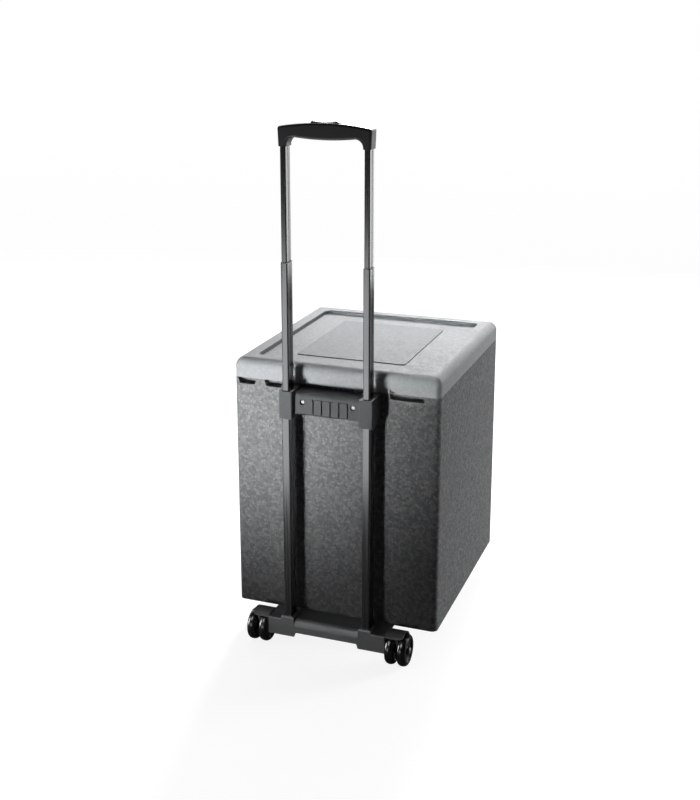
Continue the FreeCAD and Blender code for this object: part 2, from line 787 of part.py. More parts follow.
def make_bracket():
    body = new_body("upper_bracket")
    plate = new_sketch(body, "XY_Plane", f"{PLATE_TOP} - plate_height")
    add_rectangle(plate, "-pole_spacing / 2", PLATE_FRONT, "pole_spacing / 2", BACK)
    pad(body, plate, "plate_height")

    def top_front(edge):
        spot = middle_of(edge)
        at_front = abs(spot.y - value(PLATE_FRONT)) < NEAR
        return runs_along(edge, 0) and at_front and abs(spot.z - value(PLATE_TOP)) < NEAR

    round_edges(body, "plate_round", top_front)

    clamp_front = f"({POLE_Y} - tube_depth / 2 - clamp_front_wall)"
    clamps = new_sketch(body, "XY_Plane", CLAMP_BOTTOM)
    for side, sign in SIDES:
        x = f"{sign} * pole_spacing / 2"
        add_rectangle(clamps, f"{x} - clamp_width / 2", clamp_front, f"{x} + clamp_width / 2", BACK)
    pad(body, clamps, "clamp_height")

    def clamp_corner(edge):
        return upright(edge) and abs(middle_of(edge).y - value(clamp_front)) < NEAR

    round_edges(body, "clamp_round", clamp_corner)

    under = new_sketch(body, "YZ_Plane")
    add_profile(
        under,
        [
            (f"{BACK} - clamp_back_cut", f"{CLAMP_BOTTOM} - overcut"),
            (f"{BACK} + overcut", f"{CLAMP_BOTTOM} - overcut"),
            (f"{BACK} + overcut", f"{CLAMP_BOTTOM} + clamp_back_cut"),
        ],
    )
    pocket(body, under, "pole_spacing + clamp_width + overcut", both=True)

    sockets = new_sketch(body, "XY_Plane", CLAMP_TOP)
    for side, sign in SIDES:
        width = "tube_width + 2 * socket_gap"
        depth = "tube_depth + 2 * socket_gap"
        add_centred(sockets, f"{sign} * pole_spacing / 2", POLE_Y, width, depth)
    pocket(body, sockets, "clamp_height")

    hollow = new_sketch(body, "XZ_Plane", f"-({BACK})")
    hollow_half = "(bracket_screw_spacing - plate_boss) / 2"
    hollow_low = f"{PLATE_TOP} - plate_height + plate_skin"
    add_rectangle(hollow, f"-{hollow_half}", hollow_low, hollow_half, f"{PLATE_TOP} - plate_skin")
    hollow_depth = "plate_depth - plate_round - plate_skin"
    pocket(body, hollow, hollow_depth, reverse=True)

    bores = new_sketch(body, "XZ_Plane", f"-({PLATE_FRONT})")
    for x in BRACKET_SCREWS:
        add_circle(bores, x, SCREW_Z, "bracket_bore_radius")
    pocket(body, bores, "bracket_bore_depth")
    holes = new_sketch(body, "XZ_Plane", f"-({PLATE_FRONT})")
    for x in BRACKET_SCREWS:
        add_circle(holes, x, SCREW_Z, "bracket_screw_radius + anchor_gap")
    pocket(body, holes, "plate_depth")

    ribs = new_sketch(body, "XZ_Plane", f"-({PLATE_FRONT})")
    count = int(value("rib_slots"))
    for number in range(count):
        x = f"rib_shift + ({number} - (rib_slots - 1) / 2) * rib_spacing"
        add_centred(ribs, x, FACE_MIDDLE, "rib_slot_width", "rib_slot_height")
    pocket(body, ribs, "rib_slot_depth")

    lines = new_sketch(body, "XZ_Plane", f"-({PLATE_FRONT})")
    ribs_half = "((rib_slots - 1) * rib_spacing + rib_slot_width) / 2"
    ribs_left = f"rib_shift - {ribs_half} - frame_line_lead"
    ribs_top = f"{FACE_MIDDLE} + rib_slot_height / 2"
    ribs_bottom = f"{FACE_MIDDLE} - rib_slot_height / 2"
    add_rectangle(lines, ribs_left, f"{ribs_top} - frame_line_width", f"rib_shift + {ribs_half}", ribs_top)
    add_rectangle(
        lines,
        "-frame_line_reach",
        f"{ribs_bottom} - frame_line_width",
        "frame_line_reach",
        ribs_bottom,
    )
    pocket(body, lines, "frame_line_width")
    keep(body, "upper_bracket")

    screws = []
    seat = f"({PLATE_FRONT} + bracket_bore_depth)"
    length = "plate_depth - bracket_bore_depth + box_wall + strip_thickness + screw_past_strip"
    for (side, sign), x in zip(SIDES, BRACKET_SCREWS):
        screws.append(
            new_screw(
                f"bracket_screw_{side}",
                "y",
                x,
                seat,
                SCREW_Z,
                "bracket_screw_radius",
                length,
                "bracket_head_radius",
                "bracket_head_height",
                True,
            )
        )
    keep(grouped("bracket_screws", screws), "bracket_screws")

    strip = new_block(
        "strip_blank",
        "0",
        f"({STRIP_Y} + strip_thickness / 2)",
        f"({SCREW_Z} - strip_height / 2)",
        "strip_length",
        "strip_thickness",
        "strip_height",
    )
    bores = []
    for (side, sign), x in zip(SIDES, BRACKET_SCREWS):
        start = f"{STRIP_Y} - overcut"
        length = "strip_thickness + 2 * overcut"
        bore = new_rod(f"strip_bore_{side}", "y", x, start, SCREW_Z, "bracket_screw_radius", length)
        bores.append(bore)
    keep(cut("backing_strip", strip, bores), "backing_strip")


# Wheel carriage


def make_carriage():
    body = new_body("wheel_carriage")
    beam = new_sketch(body, "YZ_Plane")
    beam_front = f"({BACK} - carriage_reach)"
    flange_bottom = f"({BASE} - flange_thickness)"
    add_profile(
        beam,
        [
            (beam_front, CARRIAGE_BOTTOM),
            (beam_front, f"{CARRIAGE_TOP} - carriage_round"),
            (
                f"{beam_front} + carriage_round * (1 - sqrt(0.5))",
                f"{CARRIAGE_TOP} - carriage_round * (1 - sqrt(0.5))",
                "via",
            ),
            (f"{beam_front} + carriage_round", CARRIAGE_TOP),
            (BACK, CARRIAGE_TOP),
            (BACK, BASE),
            (f"{BACK} + flange_depth", BASE),
            (f"{BACK} + flange_depth", flange_bottom),
            (f"{BACK} - carriage_wall", flange_bottom),
            (f"{BACK} - carriage_wall", CARRIAGE_BOTTOM),
        ],
    )
    pad(body, beam, "carriage_length", both=True)

    arch = new_sketch(body, "XZ_Plane", f"-({BACK})")
    add_profile(
        arch,
        [
            ("-arch_foot_width / 2", CARRIAGE_BOTTOM),
            ("arch_foot_width / 2", CARRIAGE_BOTTOM),
            ("arch_width / 2", f"{CARRIAGE_BOTTOM} + arch_height"),
            ("-arch_width / 2", f"{CARRIAGE_BOTTOM} + arch_height"),
        ],
    )
    pocket(body, arch, "carriage_reach + overcut", reverse=True)

    boss_depth = "(carriage_reach - boss_back)"
    boss_y = f"({beam_front} + {boss_depth} / 2)"
    bosses = new_sketch(body, "XY_Plane", f"{CARRIAGE_TOP} - carriage_round")
    for side, sign in SIDES:
        add_centred(bosses, f"{sign} * pole_spacing / 2", boss_y, "boss_width", boss_depth)
    pad(body, bosses, "carriage_round + boss_rise - carriage_rise")
    shoulders = new_sketch(body, "XY_Plane", f"{CARRIAGE_TOP} - carriage_round")
    shoulder_start = "(pole_spacing + boss_width) / 2"
    shoulder_width = f"(carriage_length / 2 - {shoulder_start})"
    for side, sign in SIDES:
        x = f"{sign} * ({shoulder_start} + {shoulder_width} / 2)"
        add_centred(shoulders, x, f"{beam_front} + carriage_round / 2", shoulder_width, "carriage_round")
    pad(body, shoulders, "carriage_round")

    def shoulder_edge(edge):
        spot = middle_of(edge)
        at_front = abs(spot.y - value(beam_front)) < NEAR
        return at_front and level_at(CARRIAGE_TOP)(edge) and runs_along(edge, 0)

    round_edges(body, "shoulder_round", shoulder_edge)
    round_edges(body, "boss_round", level_at(f"{BASE} + boss_rise"))

    sockets = new_sketch(body, "XY_Plane", f"{BASE} + boss_rise")
    for side, sign in SIDES:
        width = "tube_width + 2 * socket_gap"
        depth = "tube_depth + 2 * socket_gap"
        add_centred(sockets, f"{sign} * pole_spacing / 2", POLE_Y, width, depth)
    pocket(body, sockets, "boss_rise + tube_below_box")

    hollow_width = "(pole_spacing - tube_width - 2 * socket_gap - 2 * carriage_wall)"
    hollow = new_sketch(body, "XY_Plane", CARRIAGE_BOTTOM)
    hollow_near = f"{beam_front} + carriage_wall"
    hollow_far = f"{BACK} - 2 * carriage_wall"
    add_rectangle(hollow, f"-{hollow_width} / 2", hollow_near, f"{hollow_width} / 2", hollow_far)
    pocket(body, hollow, "carriage_drop + carriage_rise - carriage_round", reverse=True)

    hood_start = "carriage_length / 2"
    for side, sign in SIDES:
        hood = new_sketch(body, "YZ_Plane", f"{sign} * {hood_start}")
        add_hood(hood)
        pad(body, hood, f"hood_end - {hood_start}", reverse=(sign < 0))
        round_edges(body, "hood_corner", hood_tip(sign))

        web = new_sketch(body, "YZ_Plane", f"{sign} * wheel_pair_centre")
        web_top = f"{AXLE_Z} + hood_inner * cos(asin(web_top_width / 2 / hood_inner))"
        add_profile(
            web,
            [
                (f"{AXLE_Y} - axle_boss_radius", AXLE_Z),
                (f"{AXLE_Y} + axle_boss_radius", AXLE_Z),
                (f"{AXLE_Y} + web_top_width / 2", web_top),
                (AXLE_Y, f"{AXLE_Z} + hood_inner + hood_wall / 2", "via"),
                (f"{AXLE_Y} - web_top_width / 2", web_top),
            ],
        )
        pad(body, web, "web_thickness", both=True)
        boss = new_sketch(body, "YZ_Plane", f"{sign} * wheel_pair_centre")
        add_circle(boss, AXLE_Y, AXLE_Z, "axle_boss_radius")
        pad(body, boss, "axle_boss_length", both=True)

        cheek = new_sketch(body, "YZ_Plane", f"{sign} * {hood_start}")
        add_circle(cheek, AXLE_Y, AXLE_Z, "cheek_radius")
        pad(body, cheek, "cheek_length", reverse=(sign > 0))

        bore = new_sketch(body, "YZ_Plane", f"{sign} * ({hood_start} - cheek_length + carriage_wall)")
        add_circle(bore, AXLE_Y, AXLE_Z, "axle_radius")
        pocket(body, bore, f"hood_end - {hood_start} + cheek_length", reverse=(sign > 0))

    holes = new_sketch(body, "XY_Plane", BASE)
    for x, y in FLANGE_SCREWS:
        add_circle(holes, x, y, "floor_screw_radius + anchor_gap")
    pocket(body, holes, "flange_thickness")
    keep(body, "wheel_carriage")


def hood_tip(sign):
    """The edge at a hood's outer end, across its wall at the front lip."""
    end = value(f"{sign} * hood_end")
    lip_y = value(f"{AXLE_Y} - (hood_inner + hood_wall / 2) * sin(hood_front_angle * 1 deg)")
    lip_z = value(f"{AXLE_Z} + (hood_inner + hood_wall / 2) * cos(hood_front_angle * 1 deg)")

    def chosen(edge):
        spot = middle_of(edge)
        return abs(spot.x - end) < NEAR and abs(spot.y - lip_y) < NEAR and abs(spot.z - lip_z) < NEAR

    return chosen


def add_hood(sketch):
    """The section of a wheel hood: a band of arc about the axle."""
    outer = "(hood_inner + hood_wall)"
    middle = "((hood_back_angle - hood_front_angle) / 2 * 1 deg)"
    front = "(hood_front_angle * 1 deg)"
    back = "(hood_back_angle * 1 deg)"
    add_profile(
        sketch,
        [
            (f"{AXLE_Y} - {outer} * sin({front})", f"{AXLE_Z} + {outer} * cos({front})"),
            (f"{AXLE_Y} + {outer} * sin({middle})", f"{AXLE_Z} + {outer} * cos({middle})", "via"),
            (f"{AXLE_Y} + {outer} * sin({back})", f"{AXLE_Z} + {outer} * cos({back})"),
            (f"{AXLE_Y} + hood_inner * sin({back})", f"{AXLE_Z} + hood_inner * cos({back})"),
            (f"{AXLE_Y} + hood_inner * sin({middle})", f"{AXLE_Z} + hood_inner * cos({middle})", "via"),
            (f"{AXLE_Y} - hood_inner * sin({front})", f"{AXLE_Z} + hood_inner * cos({front})"),
        ],
    )


# Wheels on their axles


def wheel_sketch(body):
    """A sketch whose horizontal axis is the axle."""
    sketch = new_sketch(body, "XY_Plane", AXLE_Z)
    sketch.setExpression("AttachmentOffset.Base.y", bound(AXLE_Y))
    return sketch


def make_wheel(place, middle):
    hub = new_body(f"wheel_hub_{place}")
    section = wheel_sketch(hub)
    half = "wheel_width / 2"
    rim_half = "(wheel_width / 2 - rim_step)"
    dish_half = "(wheel_width / 2 - dish_depth)"
    steps = [
        (half, "axle_radius + axle_running_gap"),
        (half, "hub_radius"),
        (dish_half, "hub_radius + dish_depth / 2"),
        (dish_half, "rim_radius - rim_lip - dish_depth / 2"),
        (rim_half, "rim_radius - rim_lip"),
        (rim_half, "rim_radius"),
    ]
    right = [(f"{middle} + {step}", radius) for step, radius in steps]
    left = [(f"{middle} - {step}", radius) for step, radius in reversed(steps)]
    add_profile(section, right + left)
    revolve(hub, section)
    keep(hub, f"wheel_hub_{place}")

    tyre = new_body(f"tyre_{place}")
    section = wheel_sketch(tyre)
    seat = "rim_radius + tyre_gap"
    add_rectangle(section, f"{middle} - {half}", seat, f"{middle} + {half}", "wheel_radius")
    revolve(tyre, section)

    def tread_edge(edge):
        box = edge.BoundBox
        return box.XLength < NEAR and abs(box.ZLength / 2 - value("wheel_radius")) < NEAR

    round_edges(tyre, "tyre_round", tread_edge)
    keep(tyre, f"tyre_{place}")


def make_wheels():
    caps = []
    for side, sign in SIDES:
        pair = f"{sign} * wheel_pair_centre"
        offset = "(wheel_width + wheel_pair_gap) / 2"
        make_wheel(f"{side}_inner", f"({pair} - {sign} * {offset})")
        make_wheel(f"{side}_outer", f"({pair} + {sign} * {offset})")

        wheel_end = "(wheel_pair_centre + wheel_width + wheel_pair_gap / 2)"
        axle_in = "(carriage_length / 2 - cheek_length + carriage_wall)"
        axle_out = f"({wheel_end} + cap_gap + cap_thickness / 2)"
        axle = new_rod(
            f"axle_{side}",
            "x",
            axle_in if sign > 0 else f"-{axle_out}",
            AXLE_Y,
            AXLE_Z,
            "axle_radius",
            f"{axle_out} - {axle_in}",
        )
        keep(axle, f"axle_{side}")

        cap = new_body(f"axle_cap_{side}")
        section = wheel_sketch(cap)
        inside = f"{sign} * ({wheel_end} + cap_gap)"
        seat = f"{sign} * {axle_out}"
        crown = f"{sign} * ({wheel_end} + cap_gap + cap_thickness)"
        add_profile(
            section,
            [
                (inside, "axle_radius"),
                (inside, "cap_radius"),
                (seat, "cap_radius"),
                (crown, "cap_radius - cap_thickness"),
                (crown, "0"),
                (seat, "0"),
                (seat, "axle_radius"),
            ],
        )
        revolve(cap, section)
        caps.append(cap)
    keep(grouped("axle_caps", caps), "axle_caps")


# Fixings under the box, and the front feet


def make_floor_fixings():
    anchors = []
    for number, (x, y) in enumerate(FLANGE_SCREWS + FOOT_SCREWS):
        plug = new_rod(f"anchor_blank_{number}", "z", x, y, BASE, "anchor_radius", "anchor_length")
        bore = new_rod(f"anchor_bore_{number}", "z", x, y, BASE, "floor_screw_radius", "floor_screw_length")
        anchors.append(cut(f"anchor_{number}", plug, [bore]))
    keep(grouped("floor_anchors", anchors), "floor_anchors")

    def floor_screws(name, places, grip):
        screws = []
        for number, (x, y) in enumerate(places):
            screws.append(
                new_screw(
                    f"{name}_{number}",
                    "z",
                    x,
                    y,
                    f"({BASE} - {grip})",
                    "floor_screw_radius",
                    f"floor_screw_length + {grip}",
                    "floor_head_radius",
                    "floor_head_height",
                    True,
                )
            )
        keep(grouped(name, screws), name)

    floor_screws("carriage_screws", FLANGE_SCREWS, "flange_thickness")
    floor_screws("foot_screws", FOOT_SCREWS, "foot_floor")


def make_feet():
    for (side, sign), (x, y) in zip(SIDES, FOOT_SCREWS):
        body = new_body(f"front_foot_{side}")
        top = new_sketch(body, "XY_Plane", BASE)
        add_centred(top, x, y, "foot_width", "foot_depth")
        column = pad(body, top, "ground_clearance - pad_thickness", reverse=True)
        column.TaperAngle = -value("foot_taper")
        column.setExpression("TaperAngle", bound("-foot_taper"))
        doc.recompute()

        def standing(edge):
            return edge.BoundBox.ZLength > value("ground_clearance") / 2

        round_edges(body, "foot_round", standing)
        bore = new_sketch(body, "XY_Plane", "pad_thickness")
        add_circle(bore, x, y, "foot_bore_radius")
        pocket(body, bore, "ground_clearance - pad_thickness - foot_floor", reverse=True)
        hole = new_sketch(body, "XY_Plane", BASE)
        add_circle(hole, x, y, "floor_screw_radius + anchor_gap")
        pocket(body, hole, "foot_floor")
        keep(body, f"front_foot_{side}")

        shrink = "(2 * (ground_clearance - pad_thickness) * tan(foot_taper * 1 deg) + 2 * pad_inset)"
        sole = new_body(f"foot_pad_{side}")
        outline = new_sketch(sole, "XY_Plane")
        sole_width = f"(foot_width - {shrink})"
        sole_depth = f"(foot_depth - {shrink})"
        add_centred(outline, x, y, sole_width, sole_depth)
        pad(sole, outline, "pad_thickness")
        round_edges(sole, "pad_inset", upright_at(x, y, sole_width, sole_depth))
        keep(sole, f"foot_pad_{side}")


# Grip and release button


def make_grip():
    form = new_body("grip_form")
    front = new_sketch(form, "XZ_Plane", f"-({POLE_Y})")
    half = "grip_width / 2"
    inner = "(grip_width / 2 - leg_width)"
    add_profile(
        front,
        [
            (f"-({half} - leg_taper)", GRIP_BOTTOM),
            (f"-{inner}", GRIP_BOTTOM),
            (f"-{inner}", f"{GRIP_BOTTOM} + belly_side"),
            ("0", f"{GRIP_BOTTOM} + belly_middle", "via"),
            (inner, f"{GRIP_BOTTOM} + belly_side"),
            (inner, GRIP_BOTTOM),
            (f"{half} - leg_taper", GRIP_BOTTOM),
            (half, f"{GRIP_BOTTOM} + grip_shoulder"),
            ("0", f"{GRIP_BOTTOM} + grip_crown", "via"),
            (f"-{half}", f"{GRIP_BOTTOM} + grip_shoulder"),
        ],
    )
    pad(form, front, "grip_depth", both=True)

    def across_at(x, z):
        def chosen(edge):
            spot = middle_of(edge)
            at_x = abs(abs(spot.x) - value(x)) < NEAR
            return runs_along(edge, 1) and at_x and abs(spot.z - value(z)) < NEAR

        return chosen

    round_edges(form, "grip_corner", across_at(half, f"{GRIP_BOTTOM} + grip_shoulder"))
    round_edges(form, "grip_armpit", across_at(inner, f"{GRIP_BOTTOM} + belly_side"))

    def along_face(edge):
        box = edge.BoundBox
        on_face = box.YLength < NEAR and abs(abs(box.YMin - value(POLE_Y)) - value("grip_depth") / 2) < NEAR
        return on_face and box.ZMax > value(GRIP_BOTTOM) + NEAR

    round_edges(form, "grip_round", along_face)

    lower_height = "grip_parting + overcut"
    lower = new_block(
        "grip_lower_half",
        "0",
        POLE_Y,
        f"({GRIP_BOTTOM} - overcut)",
        "grip_width + 2 * overcut",
        "grip_depth + 2 * overcut",
        lower_height,
    )
    upper = new_block(
        "grip_upper_half",
        "0",
        POLE_Y,
        PARTING,
        "grip_width + 2 * overcut",
        "grip_depth + 2 * overcut",
        "grip_crown",
    )
    bottom_form = common("grip_bottom_form", form, lower)
    top_form = common("grip_top_form", form, upper)

    flange_width = "(button_width + 2 * button_flange + 2 * button_gap)"
    flange_depth = "(button_depth + 2 * button_flange + 2 * button_gap)"
    flange_drop = "(button_travel + bar_below_parting + channel_gap)"
    bottom_tools = [
        new_block(
            "grip_channel",
            "0",
            POLE_Y,
            CHANNEL_FLOOR,
            "pole_spacing + 2 * (rod_radius + bar_overhang + channel_gap)",
            "bar_depth + 2 * channel_gap",
            "channel_depth + overcut",
        ),
        new_block(
            "grip_flange_room",
            "0",
            POLE_Y,
            f"({PARTING} - {flange_drop})",
            flange_width,
            flange_depth,
            f"{flange_drop} + overcut",
        ),
        new_rod(
            "grip_spring_pocket",
            "z",
            "0",
            POLE_Y,
            f"{CHANNEL_FLOOR} - spring_pocket",
            "spring_radius + spring_gap",
            "spring_pocket + overcut",
        ),
    ]
    for side, sign in SIDES:
        x = f"{sign} * pole_spacing / 2"
        bottom_tools.append(
            new_block(
                f"grip_socket_{side}",
                x,
                POLE_Y,
                f"({GRIP_BOTTOM} - overcut)",
                f"{stage_width(2)} + 2 * stem_gap",
                f"{stage_depth(2)} + 2 * stem_gap",
                "grip_socket + overcut",
            )
        )
        bottom_tools.append(
            new_rod(
                f"grip_rod_hole_{side}",
                "z",
                x,
                POLE_Y,
                GRIP_BOTTOM,
                "rod_radius + rod_gap",
                "grip_parting",
            )
        )
    screw_seat = f"({CHANNEL_FLOOR} - grip_screw_floor)"
    screw_end = f"({PARTING} + grip_screw_rise)"
    top_tools = [
        new_block(
            "grip_button_slot",
            "0",
            POLE_Y,
            f"({PARTING} - overcut)",
            "button_width + 2 * button_gap",
            "button_depth + 2 * button_gap",
            "grip_crown",
        ),
        new_block(
            "grip_flange_slot",
            "0",
            POLE_Y,
            f"({PARTING} - overcut)",
            flange_width,
            flange_depth,
            "button_flange_height - bar_below_parting + button_gap + overcut",
        ),
    ]
    screws = []
    for side, sign in SIDES:
        x = f"{sign} * grip_screw_from_middle"
        bottom_tools.append(
            new_rod(
                f"grip_screw_hole_{side}",
                "z",
                x,
                POLE_Y,
                GRIP_BOTTOM,
                "grip_screw_radius + anchor_gap",
                "grip_parting",
            )
        )
        bottom_tools.append(
            new_rod(
                f"grip_head_bore_{side}",
                "z",
                x,
                POLE_Y,
                GRIP_BOTTOM,
                "grip_head_radius + anchor_gap",
                f"{screw_seat} - {GRIP_BOTTOM}",
            )
        )
        top_tools.append(
            new_rod(
                f"grip_screw_seat_{side}",
                "z",
                x,
                POLE_Y,
                f"({PARTING} - overcut)",
                "grip_screw_radius",
                "grip_screw_rise + overcut",
            )
        )
        screws.append(
            new_screw(
                f"grip_screw_{side}",
                "z",
                x,
                POLE_Y,
                screw_seat,
                "grip_screw_radius",
                f"{screw_end} - {screw_seat}",
                "grip_head_radius",
                "grip_head_height",
                True,
            )
        )
    keep(cut("grip_bottom_shell", bottom_form, bottom_tools), "grip_bottom_shell")
    keep(cut("grip_top_shell", top_form, top_tools), "grip_top_shell")
    keep(grouped("grip_screws", screws), "grip_screws")


def make_button():
    body = new_body("release_button")
    front = new_sketch(body, "XZ_Plane", f"-({POLE_Y})")
    half = "button_width / 2"
    peak = "(button_width / 2 - button_peak_inset)"
    add_profile(
        front,
        [
            (f"-{half}", BAR_TOP),
            (half, BAR_TOP),
            (half, f"{GRIP_BOTTOM} + button_shoulder"),
            (peak, f"{GRIP_BOTTOM} + button_peak"),
            ("0", f"{GRIP_BOTTOM} + button_saddle", "via"),
            (f"-{peak}", f"{GRIP_BOTTOM} + button_peak"),
            (f"-{half}", f"{GRIP_BOTTOM} + button_shoulder"),
        ],
    )
    pad(body, front, "button_depth", both=True)

    def across_top(edge):
        return runs_along(edge, 1) and middle_of(edge).z > value(BAR_TOP) + NEAR

    round_edges(body, "button_peak_round", across_top)

    def outline_edge(edge):
        box = edge.BoundBox
        return box.YLength < NEAR and box.ZMax > value(BAR_TOP) + NEAR

    round_edges(body, "button_round", outline_edge)
    flange = new_sketch(body, "XY_Plane", BAR_TOP)
    add_centred(flange, "0", POLE_Y, "button_width + 2 * button_flange", "button_depth + 2 * button_flange")
    pad(body, flange, "button_flange_height")
    keep(body, "release_button")

    bar_length = "(pole_spacing + 2 * (rod_radius + bar_overhang))"
    blank = new_block("bar_blank", "0", POLE_Y, BAR_BOTTOM, bar_length, "bar_depth", "bar_height")
    bores = []
    for side, sign in SIDES:
        start = f"({BAR_BOTTOM} - overcut)"
        length = "bar_height + 2 * overcut"
        x = f"{sign} * grip_screw_from_middle"
        radius = "grip_screw_radius + rod_gap"
        bores.append(new_rod(f"bar_screw_hole_{side}", "z", x, POLE_Y, start, radius, length))
    keep(cut("push_bar", blank, bores), "push_bar")

    for side, sign in SIDES:
        x = f"{sign} * pole_spacing / 2"
        foot = f"({PIN_Z} + pin_radius + button_travel + rod_gap)"
        rod = new_rod(f"push_rod_{side}", "z", x, POLE_Y, foot, "rod_radius", f"{BAR_BOTTOM} - {foot}")
        keep(rod, f"push_rod_{side}")

    spring_foot = f"({CHANNEL_FLOOR} - spring_pocket)"
    length = f"{BAR_BOTTOM} - {spring_foot}"
    coil = new_rod("spring_outside", "z", "0", POLE_Y, spring_foot, "spring_radius", length)
    bore = new_rod("spring_inside", "z", "0", POLE_Y, spring_foot, "spring_radius - spring_wire", length)
    keep(cut("button_spring", coil, [bore]), "button_spring")


make_box_body()
make_lid()
make_poles()
make_bracket()
make_carriage()
make_wheels()
make_floor_fixings()
make_feet()
make_grip()
make_button()
doc.recompute()

# Every object has to be sound before any file is written
for obj in doc.Objects:
    if "Invalid" in obj.State or "Error" in obj.State:
        raise RuntimeError(f"{obj.Name} failed: {obj.State}")
for part in subparts:
    if part.Shape.isNull() or not part.Shape.isValid():
        raise RuntimeError(f"{part.Label} has no valid shape")

os.makedirs("parts", exist_ok=True)
for part in subparts:
    part.Shape.exportStep(os.path.join("parts", part.Label + ".step"))
    print(f"{part.Label}: {len(part.Shape.Solids)} solid, {part.Shape.Volume / 1000:.2f} cm3")
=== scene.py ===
import math

import bmesh
import bpy
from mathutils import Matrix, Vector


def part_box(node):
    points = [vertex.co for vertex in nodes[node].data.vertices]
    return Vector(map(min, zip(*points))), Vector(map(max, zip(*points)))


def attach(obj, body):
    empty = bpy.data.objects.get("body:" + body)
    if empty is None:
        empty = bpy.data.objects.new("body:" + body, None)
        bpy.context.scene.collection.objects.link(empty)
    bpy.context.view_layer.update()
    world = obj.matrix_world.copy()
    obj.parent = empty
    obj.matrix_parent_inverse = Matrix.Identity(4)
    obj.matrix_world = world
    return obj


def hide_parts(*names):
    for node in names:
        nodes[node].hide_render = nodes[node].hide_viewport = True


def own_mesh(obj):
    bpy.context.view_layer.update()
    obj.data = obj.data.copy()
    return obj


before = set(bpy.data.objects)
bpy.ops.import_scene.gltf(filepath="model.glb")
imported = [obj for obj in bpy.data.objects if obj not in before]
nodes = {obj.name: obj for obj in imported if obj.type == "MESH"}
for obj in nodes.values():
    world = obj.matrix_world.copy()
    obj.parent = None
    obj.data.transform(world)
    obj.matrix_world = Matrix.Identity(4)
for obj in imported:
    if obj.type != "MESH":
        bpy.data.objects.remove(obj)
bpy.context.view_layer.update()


# Foam box: one thick moulding of expanded polypropylene, fused by steam from
# charcoal beads about 5 mm across. It carries the bracket and the carriage on
# its back face, and its rim has notches for the fingers that lift the lid.


def linear(colour):
    """An sRGB hex colour as linear red, green, blue and alpha."""
    parts = [int(colour[place:place + 2], 16) / 255 for place in (1, 3, 5)]
    lit = [p / 12.92 if p <= 0.04045 else ((p + 0.055) / 1.055) ** 2.4 for p in parts]
    return lit + [1.0]


def add_node(tree, kind, settings=None, links=None, **traits):
    """One shader node, with its socket values and the outputs that feed it."""
    node = tree.nodes.new(kind)
    for trait, choice in traits.items():
        setattr(node, trait, choice)
    for socket, number in (settings or {}).items():
        node.inputs[socket].default_value = number
    for socket, source in (links or {}).items():
        tree.links.new(source, node.inputs[socket])
    return node


def new_finish(name, settings):
    """A material with one Principled shader, given with its tree and that shader."""
    finish = bpy.data.materials.new(name)
    finish.use_nodes = True
    tree = finish.node_tree
    tree.nodes.clear()
    shader = add_node(tree, "ShaderNodeBsdfPrincipled", settings)
    surface = {"Surface": shader.outputs["BSDF"]}
    add_node(tree, "ShaderNodeOutputMaterial", links=surface)
    return finish, tree, shader


def dress(names, finish):
    """Give CAD nodes a finish in place of their plain colour."""
    for name in names:
        mesh = nodes[name].data
        for place in range(len(mesh.materials)):
            mesh.materials[place] = finish


# The Mix node's colour sockets, which share their names with its other kinds
MIX_A = 6
MIX_B = 7
MIX_OUT = 2

bead_size = 0.005
bead_jitter = 0.85
bead_bump = 0.5
bead_gloss_spread = 0.08

# Shares of a bead's width, inwards from its edge: how wide its seam of painted shade
# is, and how far it takes to rise to its full height
shade_seam_share = 0.07
dome_share = 0.4


def bead_foam(name, dark, light, crease_shade, relief, roughness, sheen):
    """Fused foam beads: each has its own tone, and meets the next in a crease, where
    shade is painted into the colour.
    """
    finish, tree, shader = new_finish(name, {"IOR": 1.4, "Specular IOR Level": sheen})
    place = add_node(tree, "ShaderNodeTexCoord").outputs["Object"]
    packing = {"Scale": 1 / bead_size, "Randomness": bead_jitter}
    beads = add_node(tree, "ShaderNodeTexVoronoi", packing, {"Vector": place})
    edges = add_node(
        tree,
        "ShaderNodeTexVoronoi",
        packing,
        {"Vector": place},
        feature="DISTANCE_TO_EDGE",
    )
    chance = add_node(
        tree, "ShaderNodeSeparateColor", links={"Color": beads.outputs["Color"]}
    )
    tone = add_node(
        tree,
        "ShaderNodeMix",
        {MIX_A: linear(dark), MIX_B: linear(light)},
        {"Factor": chance.outputs["Red"]},
        data_type="RGBA",
    )
    shaded_seam, dome = [
        add_node(
            tree,
            "ShaderNodeMapRange",
            {"From Min": 0.0, "From Max": share},
            {"Value": edges.outputs["Distance"]},
            interpolation_type="SMOOTHSTEP",
        )
        for share in (shade_seam_share, dome_share)
    ]
    # Painted shade: the seam between beads is drawn darker, as the shade in their
    # crease
    colour = add_node(
        tree,
        "ShaderNodeMix",
        {MIX_A: linear(crease_shade)},
        {"Factor": shaded_seam.outputs["Result"], MIX_B: tone.outputs[MIX_OUT]},
        data_type="RGBA",
    )
    gloss = add_node(
        tree,
        "ShaderNodeMapRange",
        {
            "To Min": roughness - bead_gloss_spread,
            "To Max": roughness + bead_gloss_spread,
        },
        {"Value": chance.outputs["Green"]},
    )
    bump = add_node(
        tree,
        "ShaderNodeBump",
        {"Strength": bead_bump, "Distance": relief},
        {"Height": dome.outputs["Result"]},
    )
    tree.links.new(colour.outputs[MIX_OUT], shader.inputs["Base Color"])
    tree.links.new(gloss.outputs["Result"], shader.inputs["Roughness"])
    tree.links.new(bump.outputs["Normal"], shader.inputs["Normal"])
    return finish


# Charcoal polypropylene beads: matt and mottled, with the odd bead catching light, and
# painted shade darkening the creases between them
charcoal_foam = bead_foam(
    "charcoal_bead_foam",
    dark="#525354",
    light="#6b6c6c",
    crease_shade="#4d4e4f",
    relief=0.0004,
    roughness=0.72,
    sheen=0.05,
)
dress(["box_body"], charcoal_foam)
